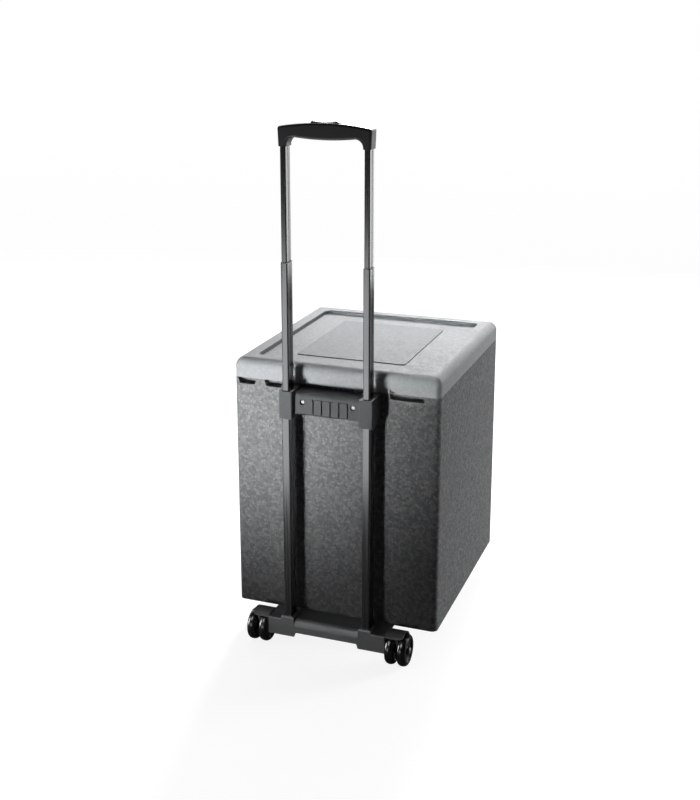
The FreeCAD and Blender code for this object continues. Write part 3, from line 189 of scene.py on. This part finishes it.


# Foam lid: the same kind of moulding in light grey. Its top is sunk inside a
# raised border, so that another box can stand on it, and holds a smooth panel
# in the middle, which is left bare. It lies loose on the box's rim.

# Light grey polypropylene beads, fused tighter: an even skin with faint creases,
# painted a shade darker
grey_foam = bead_foam(
    "grey_bead_foam",
    dark="#747678",
    light="#7b7d7f",
    crease_shade="#717375",
    relief=0.00012,
    roughness=0.65,
    sheen=0.25,
)

# The panel's skin is pressed nearly flat in the mould, and a little darker. It is
# placed by its middle and half sizes, whose height takes in the panel's top alone.
panel_middle = (0.0, 0.031, 0.5435)
panel_half = (0.1075, 0.1325, 0.0012)
panel_colour = "#686b6d"
panel_bump = 0.05

lid_tree = grey_foam.node_tree
lid_shader = lid_tree.nodes["Principled BSDF"]
bead_colour = lid_shader.inputs["Base Color"].links[0].from_socket
beside = add_node(
    lid_tree,
    "ShaderNodeVectorMath",
    {1: panel_middle},
    {0: lid_tree.nodes["Texture Coordinate"].outputs["Object"]},
    operation="SUBTRACT",
)
reach = add_node(
    lid_tree,
    "ShaderNodeVectorMath",
    links={0: beside.outputs["Vector"]},
    operation="ABSOLUTE",
)
reach_parts = add_node(
    lid_tree, "ShaderNodeSeparateXYZ", links={0: reach.outputs["Vector"]}
)
within = [
    add_node(
        lid_tree,
        "ShaderNodeMath",
        {1: half},
        {0: reach_parts.outputs[axis]},
        operation="LESS_THAN",
    ).outputs["Value"]
    for axis, half in zip("XYZ", panel_half)
]
inside = within[0]
for here in within[1:]:
    inside = add_node(
        lid_tree, "ShaderNodeMath", links={0: inside, 1: here}, operation="MULTIPLY"
    ).outputs["Value"]
skin = add_node(
    lid_tree,
    "ShaderNodeMix",
    {MIX_B: linear(panel_colour)},
    {"Factor": inside, MIX_A: bead_colour},
    data_type="RGBA",
)
bump_left = add_node(
    lid_tree,
    "ShaderNodeMapRange",
    {"To Min": bead_bump, "To Max": panel_bump},
    {"Value": inside},
)
lid_tree.links.new(skin.outputs[MIX_OUT], lid_shader.inputs["Base Color"])
lid_tree.links.new(
    bump_left.outputs["Result"], lid_tree.nodes["Bump"].inputs["Strength"]
)
dress(["lid"], grey_foam)


# Telescopic tubes: drawn aluminium of three sizes that slide in each other,
# anodised graphite grey. The outer pair stands in the carriage's sockets, and
# the bracket clamps it to the box.
SIDES = ("left", "right")

# Nearly all values of a noise texture lie in this range
usual_noise = {"From Min": 0.3, "From Max": 0.7}

# How much a draw line is smoother or rougher than the metal, and the darkest one
line_smoother = 0.06
line_rougher = 0.08
line_darkest = 0.9


def drawn_metal(name, colour, roughness, line, stretch, anisotropy=0.0):
    """Metal with lines along Z, as wide and long as given, that vary its gloss."""
    finish, tree, shader = new_finish(
        name, {"Metallic": 1.0, "Anisotropic": anisotropy}
    )
    place = add_node(tree, "ShaderNodeTexCoord").outputs["Object"]
    along = add_node(
        tree,
        "ShaderNodeMapping",
        {"Scale": (1 / line, 1 / line, 1 / stretch)},
        {"Vector": place},
    )
    lines = add_node(
        tree,
        "ShaderNodeTexNoise",
        {"Scale": 1.0, "Detail": 3.0},
        {"Vector": along.outputs["Vector"]},
    )
    gloss = add_node(
        tree,
        "ShaderNodeMapRange",
        {
            **usual_noise,
            "To Min": roughness - line_smoother,
            "To Max": roughness + line_rougher,
        },
        {"Value": lines.outputs["Fac"]},
    )
    tone = add_node(
        tree,
        "ShaderNodeMapRange",
        {**usual_noise, "To Min": line_darkest, "To Max": 1.0},
        {"Value": lines.outputs["Fac"]},
    )
    tint = add_node(
        tree,
        "ShaderNodeVectorMath",
        {0: linear(colour)[:3]},
        {"Scale": tone.outputs["Result"]},
        operation="SCALE",
    )
    tree.links.new(tint.outputs["Vector"], shader.inputs["Base Color"])
    tree.links.new(gloss.outputs["Result"], shader.inputs["Roughness"])
    return finish


# Anodised aluminium: satin and dark, so that it shows what it mirrors. Its draw
# lines are hair-fine, and are drawn 1.2 mm wide to show in the render.
tube_metal = drawn_metal(
    "graphite_anodised_aluminium",
    "#666768",
    roughness=0.24,
    line=0.0012,
    stretch=0.25,
    anisotropy=0.3,
)
for side in SIDES:
    dress([f"{stage}_tube_{side}" for stage in ("outer", "mid", "upper")], tube_metal)


# Tube ends: collars that close the gap at the top of the outer and middle tubes,
# and guides at the foot of the tubes that slide in them. They are moulded from
# nylon and pressed onto the tubes.

# How far the gloss drifts from place to place, and how wide a patch is
gloss_drift = 0.06
drift_size = 0.05

# The darkest and lightest grain, and how much of its relief shows
grain_darkest = 0.85
grain_lightest = 1.1
grain_bump = 0.4


def moulded_plastic(name, colour, roughness, grain, relief):
    """Plastic with the leathery grain of an etched mould.

    The real grain is a few tenths of a millimetre, too fine to show in the
    render, so it is drawn 1 to 2 mm wide.
    """
    finish, tree, shader = new_finish(name, {"IOR": 1.5})
    place = add_node(tree, "ShaderNodeTexCoord").outputs["Object"]
    pebble, drift = [
        add_node(
            tree,
            "ShaderNodeTexNoise",
            {"Scale": 1 / width, "Detail": 2.0},
            {"Vector": place},
        )
        for width in (grain, drift_size)
    ]
    gloss = add_node(
        tree,
        "ShaderNodeMapRange",
        {
            **usual_noise,
            "To Min": roughness - gloss_drift,
            "To Max": roughness + gloss_drift,
        },
        {"Value": drift.outputs["Fac"]},
    )
    tone = add_node(
        tree,
        "ShaderNodeMapRange",
        {**usual_noise, "To Min": grain_darkest, "To Max": grain_lightest},
        {"Value": pebble.outputs["Fac"]},
    )
    tint = add_node(
        tree,
        "ShaderNodeVectorMath",
        {0: linear(colour)[:3]},
        {"Scale": tone.outputs["Result"]},
        operation="SCALE",
    )
    bump = add_node(
        tree,
        "ShaderNodeBump",
        {"Strength": grain_bump, "Distance": relief},
        {"Height": pebble.outputs["Fac"]},
    )
    tree.links.new(tint.outputs["Vector"], shader.inputs["Base Color"])
    tree.links.new(gloss.outputs["Result"], shader.inputs["Roughness"])
    tree.links.new(bump.outputs["Normal"], shader.inputs["Normal"])
    return finish


# Nylon: black and slightly waxy, with a soft gloss
guide_nylon = moulded_plastic(
    "black_guide_nylon", "#2a2b2c", roughness=0.4, grain=0.0015, relief=0.0001
)
for side in SIDES:
    dress([f"{stage}_collar_{side}" for stage in ("outer", "mid")], guide_nylon)
    dress([f"{stage}_guide_{side}" for stage in ("mid", "upper")], guide_nylon)


# Upper bracket: one moulding of glass-filled nylon that clamps both outer tubes
# to the box. Its ribbed plate has a screw at each end, which goes through the
# foam into a steel strip inside.

# Glass-filled nylon: dark grey and dull, as the fibres roughen its skin
bracket_nylon = moulded_plastic(
    "grey_bracket_nylon", "#3a3c3d", roughness=0.6, grain=0.0014, relief=0.00015
)
dress(["upper_bracket"], bracket_nylon)


# Wheel carriage: one nylon moulding under the box's back edge, with sockets for
# the outer tubes and a hood over each pair of wheels. Four screws hold it to the
# anchors in the foam floor.

# Black nylon with painted light: drawn a paler grey than the bracket's, to stand in
# for the light that barely reaches it low down. A soft sheen lies along its rounds
carriage_nylon = moulded_plastic(
    "black_nylon_painted_lighter", "#787a7b", roughness=0.45, grain=0.0014, relief=0.00015
)
dress(["wheel_carriage"], carriage_nylon)


# Small steel: the strip inside the box, the axles with their caps, and the pins
# and rods of the handle's release. All are cut from drawn wire and strip, then
# zinc plated.

# Zinc plate: bright, with a faint haze. Its lines are drawn 0.6 mm wide to show.
zinc_steel = drawn_metal(
    "zinc_plated_steel", "#d6d7d6", roughness=0.28, line=0.0006, stretch=0.004
)
dress(["backing_strip", "axle_left", "axle_right", "axle_caps"], zinc_steel)
for side in SIDES:
    dress([f"lock_pin_{side}", f"push_rod_{side}"], zinc_steel)


# Screws: pan-head tapping screws with a cross recess, cold headed and thread
# rolled from zinc plated wire. Each is modelled head up at the origin, then
# copied to its places and turned to the way it is driven.
level_normal = 0.9
screw_crease = 40


def pick_faces(piece, chosen):
    """Select the faces that a test chooses, and no others, in edit mode."""
    bpy.ops.mesh.select_mode(type="FACE")
    bpy.ops.mesh.select_all(action="DESELECT")
    form = bmesh.from_edit_mesh(piece.data)
    for face in form.faces:
        face.select_set(chosen(face))
    bmesh.update_edit_mesh(piece.data)


def looks_up(face):
    """Whether a face is level and looks up."""
    return face.normal.z > level_normal


def looks_down(face):
    """Whether a face is level and looks down."""
    return face.normal.z < -level_normal


def draw_out(length, width_ratio, level):
    """Extrude the chosen end down from a level and resize it; gives its new level."""
    end = level - length
    bpy.ops.mesh.extrude_region_move(TRANSFORM_OT_translate={"value": (0, 0, -length)})
    bpy.ops.transform.resize(
        value=(width_ratio, width_ratio, 1), center_override=(0, 0, end)
    )
    return end


def pan_screw(head_radius, head_height, shaft_radius, shaft_length):
    """One screw, its head from the seat at z = 0 upwards and its shaft below."""
    head_round = 0.4 * head_height
    pitch = 0.8 * shaft_radius
    flank, root, crest = 0.25 * pitch, 0.45 * pitch, 0.05 * pitch
    core_ratio = 0.72
    tip_length = 2 * shaft_radius
    tip_ratio = 0.12
    recess_half = (0.48 * head_radius, 0.11 * head_radius, 0.6 * head_height)
    recess_floor = (0, 0, head_height - recess_half[2])
    recess_taper = 0.6

    bpy.ops.object.select_all(action="DESELECT")
    bpy.ops.mesh.primitive_cylinder_add(
        vertices=32,
        radius=head_radius,
        depth=head_height,
        location=(0, 0, head_height / 2),
    )
    screw = bpy.context.object
    bpy.ops.object.transform_apply()
    bpy.ops.object.mode_set(mode="EDIT")
    pick_faces(screw, looks_up)
    bpy.ops.mesh.bevel(offset=head_round, segments=5, profile=0.5)

    pick_faces(screw, looks_down)
    bpy.ops.mesh.inset(thickness=head_radius - shaft_radius)
    level = 0
    while level > tip_length + pitch - shaft_length:
        level = draw_out(flank, core_ratio, level)
        level = draw_out(root, 1, level)
        level = draw_out(flank, 1 / core_ratio, level)
        level = draw_out(crest, 1, level)
    draw_out(level + shaft_length, tip_ratio, level)
    bpy.ops.object.mode_set(mode="OBJECT")

    for turn in (0, 90):
        bpy.ops.mesh.primitive_cube_add(
            location=(0, 0, head_height), rotation=(0, 0, math.radians(turn))
        )
        slot = bpy.context.object
        slot.scale = recess_half
        bpy.ops.object.transform_apply()
        bpy.ops.object.mode_set(mode="EDIT")
        pick_faces(slot, looks_down)
        bpy.ops.transform.resize(
            value=(recess_taper, recess_taper, 1), center_override=recess_floor
        )
        bpy.ops.object.mode_set(mode="OBJECT")
        bpy.context.view_layer.objects.active = screw
        cross = screw.modifiers.new("cross", "BOOLEAN")
        cross.object = slot
        bpy.ops.object.modifier_apply(modifier="cross")
        bpy.data.objects.remove(slot)
    return screw


def drive_screws(name, node, body, screw, seats, tilt):
    """Copy a screw to its seats, tilted about X, as one piece in place of a node."""
    bpy.ops.object.select_all(action="DESELECT")
    for seat in seats:
        copy = screw.copy()
        copy.data = screw.data.copy()
        copy.location = seat
        copy.rotation_euler = (math.radians(tilt), 0, 0)
        bpy.context.scene.collection.objects.link(copy)
        copy.select_set(True)
    bpy.context.view_layer.objects.active = copy
    bpy.ops.object.transform_apply()
    bpy.ops.object.join()
    piece = bpy.context.object
    piece.name = name
    bpy.ops.object.shade_smooth_by_angle(angle=math.radians(screw_crease))
    piece.data.materials.append(zinc_steel)
    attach(piece, body)
    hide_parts(node)
    bpy.data.objects.remove(screw)


def middle_of(low, high):
    """The middle of a box, from its low and high corners."""
    return [(start + end) / 2 for start, end in zip(low, high)]


# The tilt that turns a screw's head to the back of the box, or down
TO_BACK = 90
DOWN = 180

# Each kind: its piece, node and body, its head's radius and height, its shaft's
# radius, and its tilt
SCREW_KINDS = (
    ("bracket_pan_screws", "bracket_screws", "box", 0.0036, 0.003, 0.00175, TO_BACK),
    ("grip_pan_screws", "grip_screws", "handle", 0.003, 0.002, 0.0015, DOWN),
    ("carriage_pan_screws", "carriage_screws", "box", 0.004, 0.003, 0.002, DOWN),
    ("foot_pan_screws", "foot_screws", "box", 0.004, 0.003, 0.002, DOWN),
)

# The carriage has a second pair of screws, this far from the middle
carriage_inner = 0.040

for name, node, body, head_radius, head_height, shaft_radius, tilt in SCREW_KINDS:
    low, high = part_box(node)
    middle = middle_of(low, high)
    across = high[0] - head_radius
    columns = [-across, across]
    if node == "carriage_screws":
        columns += [-carriage_inner, carriage_inner]
    if tilt == TO_BACK:
        length = high[1] - low[1] - head_height
        seats = [(x, low[1] + head_height, middle[2]) for x in columns]
    else:
        length = high[2] - low[2] - head_height
        seats = [(x, middle[1], low[2] + head_height) for x in columns]
    screw = pan_screw(head_radius, head_height, shaft_radius, length)
    drive_screws(name, node, body, screw, seats, tilt)


# Wheels: hubs of black polypropylene, with tyres of thermoplastic rubber that are
# moulded onto the rims. They turn on fixed axles, and the tyres have a round
# crown.

# Polypropylene from a polished mould: black, with small clear highlights
wheel_plastic = moulded_plastic(
    "black_wheel_polypropylene", "#1c1d1e", roughness=0.26, grain=0.002, relief=0.00005
)
# Thermoplastic rubber from a polished mould: black, with a long glint on its crown
tyre_rubber = moulded_plastic(
    "black_tyre_rubber", "#1d1e1f", roughness=0.2, grain=0.0012, relief=0.00008
)

# The crown's height over the tyre's shoulders, and the radius that the tyre sits
# at, 0.03 mm clear of the rim
crown_height = 0.0058
rim_seat = 0.02303
round_crease = 50
near = 0.0001
merge_distance = 0.000001


def pick_points(piece, chosen):
    """Select the points that a test chooses, and no others, in edit mode."""
    bpy.ops.mesh.select_mode(type="VERT")
    bpy.ops.mesh.select_all(action="DESELECT")
    form = bmesh.from_edit_mesh(piece.data)
    for point in form.verts:
        point.select_set(chosen(point))
    form.select_flush_mode()
    bmesh.update_edit_mesh(piece.data)


def round_tyre(node):
    """One tyre at x = 0: a circle pressed to its section, and spun about the axle."""
    low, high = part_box(node)
    half_width = (high[0] - low[0]) / 2
    middle = middle_of(low, high)
    axle = (0, middle[1], middle[2])
    shoulder = high[2] - crown_height
    bpy.ops.object.select_all(action="DESELECT")
    bpy.ops.mesh.primitive_circle_add(
        vertices=40,
        radius=half_width,
        location=(0, axle[1], shoulder),
        rotation=(math.radians(90), 0, 0),
    )
    tyre = bpy.context.object
    bpy.ops.object.transform_apply()
    bpy.ops.object.mode_set(mode="EDIT")
    pick_points(tyre, lambda point: point.co.z > shoulder + near)
    bpy.ops.transform.resize(
        value=(1, 1, crown_height / half_width), center_override=(0, 0, shoulder)
    )
    pick_points(tyre, lambda point: point.co.z < shoulder - near)
    bpy.ops.transform.resize(
        value=(1, 1, 0), center_override=(0, 0, axle[2] + rim_seat)
    )
    bpy.ops.mesh.select_all(action="SELECT")
    bpy.ops.mesh.spin(steps=96, angle=math.tau, center=axle, axis=(1, 0, 0))
    bpy.ops.mesh.select_all(action="SELECT")
    bpy.ops.mesh.remove_doubles(threshold=merge_distance)
    bpy.ops.mesh.normals_make_consistent(inside=False)
    bpy.ops.object.mode_set(mode="OBJECT")
    bpy.ops.object.shade_smooth_by_angle(angle=math.radians(round_crease))
    return tyre


first_tyre = round_tyre("tyre_left_outer")
for side in SIDES:
    for place in ("inner", "outer"):
        dress([f"wheel_hub_{side}_{place}"], wheel_plastic)
        node = f"tyre_{side}_{place}"
        tyre = first_tyre.copy()
        tyre.data = first_tyre.data.copy()
        tyre.name = f"round_{node}"
        tyre.location.x = middle_of(*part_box(node))[0]
        bpy.context.scene.collection.objects.link(tyre)
        bpy.ops.object.select_all(action="DESELECT")
        tyre.select_set(True)
        bpy.context.view_layer.objects.active = tyre
        bpy.ops.object.transform_apply()
        tyre.data.materials.append(tyre_rubber)
        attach(tyre, f"wheel_{side}_{place}")
        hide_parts(node)
bpy.data.objects.remove(first_tyre)


# Front feet: hollow columns of the bracket's nylon, screwed up into the foam
# floor, with rubber pads under them. The floor's anchors, which hold these
# screws and the carriage's, are moulded plugs pressed into the foam.

# Rubber: black and dull
pad_rubber = moulded_plastic(
    "black_pad_rubber", "#232425", roughness=0.7, grain=0.001, relief=0.0001
)
# Uncoloured polythene: milky white and waxy
anchor_plastic = moulded_plastic(
    "natural_anchor_polythene", "#bdbdb8", roughness=0.45, grain=0.002, relief=0.0001
)
for side in SIDES:
    dress([f"front_foot_{side}"], bracket_nylon)
    dress([f"foot_pad_{side}"], pad_rubber)
dress(["floor_anchors"], anchor_plastic)


# Return spring: three turns of zinc plated spring wire. It stands in a pocket of
# the grip's lower shell, and the push bar presses it together as the button goes
# down.
spring_wire = 0.0008
spring_turns = 3
steps_per_turn = 32
low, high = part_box("button_spring")
spring_length = high[2] - low[2]
spring_foot = (0, middle_of(low, high)[1], low[2])

bpy.ops.object.select_all(action="DESELECT")
bpy.ops.mesh.primitive_circle_add(
    vertices=12,
    radius=spring_wire / 2,
    location=(0, spring_foot[1], low[2] + spring_wire / 2),
    rotation=(math.radians(90), 0, 0),
)
spring = bpy.context.object
spring.name = "coil_spring"
bpy.ops.object.transform_apply(location=False)
bpy.ops.object.mode_set(mode="EDIT")
bpy.ops.mesh.select_all(action="SELECT")
bpy.ops.transform.translate(value=(high[0] - spring_wire / 2, 0, 0))
bpy.ops.object.mode_set(mode="OBJECT")
winding = spring.modifiers.new("winding", "SCREW")
winding.axis = "Z"
winding.steps = steps_per_turn
winding.render_steps = steps_per_turn
winding.iterations = spring_turns
winding.screw_offset = (spring_length - spring_wire) / spring_turns
bpy.ops.object.modifier_apply(modifier="winding")
bpy.ops.object.mode_set(mode="EDIT")
bpy.ops.mesh.select_all(action="SELECT")
bpy.ops.mesh.fill_holes(sides=0)
bpy.ops.mesh.normals_make_consistent(inside=False)
bpy.ops.object.mode_set(mode="OBJECT")
bpy.ops.object.shade_smooth_by_angle(angle=math.radians(round_crease))
bpy.ops.object.transform_apply()
spring.data.materials.append(zinc_steel)
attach(spring, "handle")
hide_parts("button_spring")
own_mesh(spring)


# Grip: two shells of polypropylene that close round the ends of the upper tubes
# and are screwed together from below. The release button is let into the top,
# and works the lock pins through a push bar in the shells.

# Grained polypropylene: black, with a soft broad shine
grip_plastic = moulded_plastic(
    "black_grip_polypropylene", "#45474a", roughness=0.42, grain=0.0013, relief=0.00012
)
# The same with a finer skin: blacker and a little glossier, so the button shows
button_plastic = moulded_plastic(
    "black_button_polypropylene",
    "#1d1e20",
    roughness=0.35,
    grain=0.0013,
    relief=0.00008,
)
dress(["grip_bottom_shell", "grip_top_shell"], grip_plastic)
dress(["release_button", "push_bar"], button_plastic)


# Studio: a plain pale floor that runs on into a white backdrop. The camera sees
# both bright, but they throw little light back, so that the trolley keeps its
# dark sides and deep shadows.
floor_width = 60
floor_glow = 0.86

bpy.ops.mesh.primitive_plane_add(size=floor_width, location=(0, 0, 0))
floor = bpy.context.object
floor.name = "studio_floor"
# Matt paper: grey in what it throws back, and pale and even to the camera
floor_finish, floor_tree, floor_shader = new_finish(
    "pale_floor", {"Base Color": linear("#5a5a5a"), "Roughness": 0.8}
)
seen = add_node(floor_tree, "ShaderNodeLightPath")
paper = add_node(
    floor_tree,
    "ShaderNodeBsdfPrincipled",
    {
        "Base Color": linear("#8c8c8c"),
        "Roughness": 0.9,
        "Emission Color": linear("#ffffff"),
        "Emission Strength": floor_glow,
    },
)
floor_look = add_node(
    floor_tree,
    "ShaderNodeMixShader",
    links={
        0: seen.outputs["Is Camera Ray"],
        1: floor_shader.outputs["BSDF"],
        2: paper.outputs["BSDF"],
    },
)
floor_output = floor_tree.nodes["Material Output"]
floor_tree.links.new(floor_look.outputs["Shader"], floor_output.inputs["Surface"])
floor.data.materials.append(floor_finish)

# The room's own light comes from a white wall on the far side, in front of the
# trolley. The rest of the room is nearly dark, and gloss shows the wall brighter.
wall_edge = {"From Min": 0.1, "From Max": 0.6}
room_light = 0.006
wall_light = 1.0
wall_in_gloss = 2.2

world = bpy.data.worlds.new("studio")
bpy.context.scene.world = world
world.use_nodes = True
world_tree = world.node_tree
world_tree.nodes.clear()
way = add_node(world_tree, "ShaderNodeTexCoord")
way_parts = add_node(
    world_tree, "ShaderNodeSeparateXYZ", links={0: way.outputs["Generated"]}
)
wall = add_node(
    world_tree,
    "ShaderNodeMapRange",
    {**wall_edge, "To Min": room_light, "To Max": wall_light},
    {"Value": way_parts.outputs["Y"]},
    interpolation_type="SMOOTHSTEP",
)
seen = add_node(world_tree, "ShaderNodeLightPath")
mirrored = add_node(
    world_tree,
    "ShaderNodeMapRange",
    {"To Min": 1.0, "To Max": wall_in_gloss},
    {"Value": seen.outputs["Is Glossy Ray"]},
)
strength = add_node(
    world_tree,
    "ShaderNodeMath",
    links={0: wall.outputs["Result"], 1: mirrored.outputs["Result"]},
    operation="MULTIPLY",
)
ambient = add_node(
    world_tree,
    "ShaderNodeBackground",
    {"Color": linear("#ffffff")},
    {"Strength": strength.outputs["Value"]},
)
backdrop = add_node(
    world_tree,
    "ShaderNodeBackground",
    {"Color": linear("#ffffff"), "Strength": 1.0},
)
sky = add_node(
    world_tree,
    "ShaderNodeMixShader",
    links={
        0: seen.outputs["Is Camera Ray"],
        1: ambient.outputs["Background"],
        2: backdrop.outputs["Background"],
    },
)
add_node(world_tree, "ShaderNodeOutputWorld", links={"Surface": sky.outputs["Shader"]})


# Lights: soft rectangles, each given by its name, place, target, width and
# height, watts and spread in degrees. The foam's lamps leave no glint, and the
# cards are seen in gloss alone, as a photographer's reflectors are.


def add_light(name, place, target, size, power, spread, diffuse=True, glossy=True):
    """A soft light at a place, turned to face a target."""
    lamp = bpy.data.lights.new(name, "AREA")
    lamp.shape = "RECTANGLE"
    lamp.size, lamp.size_y = size
    lamp.energy = power
    lamp.spread = math.radians(spread)
    holder = bpy.data.objects.new(name, lamp)
    holder.location = place
    aim = [end - start for start, end in zip(place, target)]
    flat = math.hypot(aim[0], aim[1])
    tilt = math.atan2(flat, -aim[2])
    holder.rotation_euler = (tilt, 0, math.atan2(-aim[0], aim[1]))
    holder.visible_camera = False
    holder.visible_diffuse = diffuse
    holder.visible_glossy = glossy
    bpy.context.scene.collection.objects.link(holder)


# The foam's lamps: for the back face from low on the left, for its foot, for the
# lid's back edge and sunk top, and for the right side
for lamp in (
    ("key_light", (-0.42, -1.6, 0.08), (-0.18, -0.184, 0.48), (0.3, 0.3), 3.3, 31),
    ("foot_light", (-0.42, -1.6, 0.1), (0, -0.2, 0.04), (0.3, 0.1), 0.08, 24),
    ("lid_light", (-0.42, -1.6, 0.45), (0.17, -0.184, 0.575), (0.2, 0.03), 0.13, 7),
    ("recess_light", (-0.1, -1.5, 1.34), (0, 0.2, 0.55), (0.5, 0.06), 0.3, 8),
    ("side_light", (1.7, 1.3, 0.4), (0.2, 0.05, 0.35), (0.6, 0.6), 47, 180),
):
    add_light(*lamp, glossy=False)

# The main light from above and beyond, and a weak one from behind the camera
for lamp in (
    ("top_light", (-0.25, 1.75, 1.95), (0, 0.03, 0.5), (0.8, 0.8), 92, 180),
    ("fill_light", (0.5, -2.3, 1.1), (0, -0.2, 0.4), (1.2, 1.2), 0.15, 180),
):
    add_light(*lamp)

# Cards for the tubes' faces and edges, the wheels, the carriage's rounds, the
# tubes' right sides and the grip's underside
for card in (
    (
        "tube_card",
        (-0.405, -1.178, 0.269),
        (-0.185, -0.635, 1.079),
        (0.6, 0.812),
        4.2,
        180,
    ),
    ("pole_card", (0.45, 0.95, 0.67), (0, -0.2175, 0.85), (0.3, 0.45), 1.4, 180),
    ("wheel_card", (-0.8, -0.5, 0.25), (0, -0.216, 0.05), (0.2, 0.5), 1.1, 60),
    ("sill_card", (-0.33, -0.9, 0.95), (0.06, -0.22, 0.05), (0.6, 0.6), 0.55, 40),
    ("hub_card", (1.7, 1.3, 0.4), (0.16, -0.216, 0.03), (0.4, 0.4), 0.045, 10),
    ("end_card", (2.2, -0.22, 0.9), (0, -0.22, 0.6), (0.35, 1.6), 2.1, 180),
    ("grip_card", (-0.45, -0.22, 0.05), (0, -0.22, 0.96), (0.4, 0.25), 0.42, 50),
):
    add_light(*card, diffuse=False)


# Camera: behind the trolley and to its right, a little above it, as the photo was
# taken. The lens is shifted, which keeps upright lines upright, but only so far
# that views from other sides still hold the handle.
look_down = 14.425
turn_left = 20.022

photo_lens = bpy.data.cameras.new("photo_view")
photo_lens.sensor_width = 36
photo_lens.lens = 54.52
photo_lens.shift_y = -0.105
camera = bpy.data.objects.new("photo_view", photo_lens)
camera.location = (0.745, -2.1456, 1.1864)
camera.rotation_euler = (math.radians(90 - look_down), 0, math.radians(turn_left))
bpy.context.scene.collection.objects.link(camera)
bpy.context.scene.camera = camera
bpy.context.scene.view_settings.view_transform = "Standard"
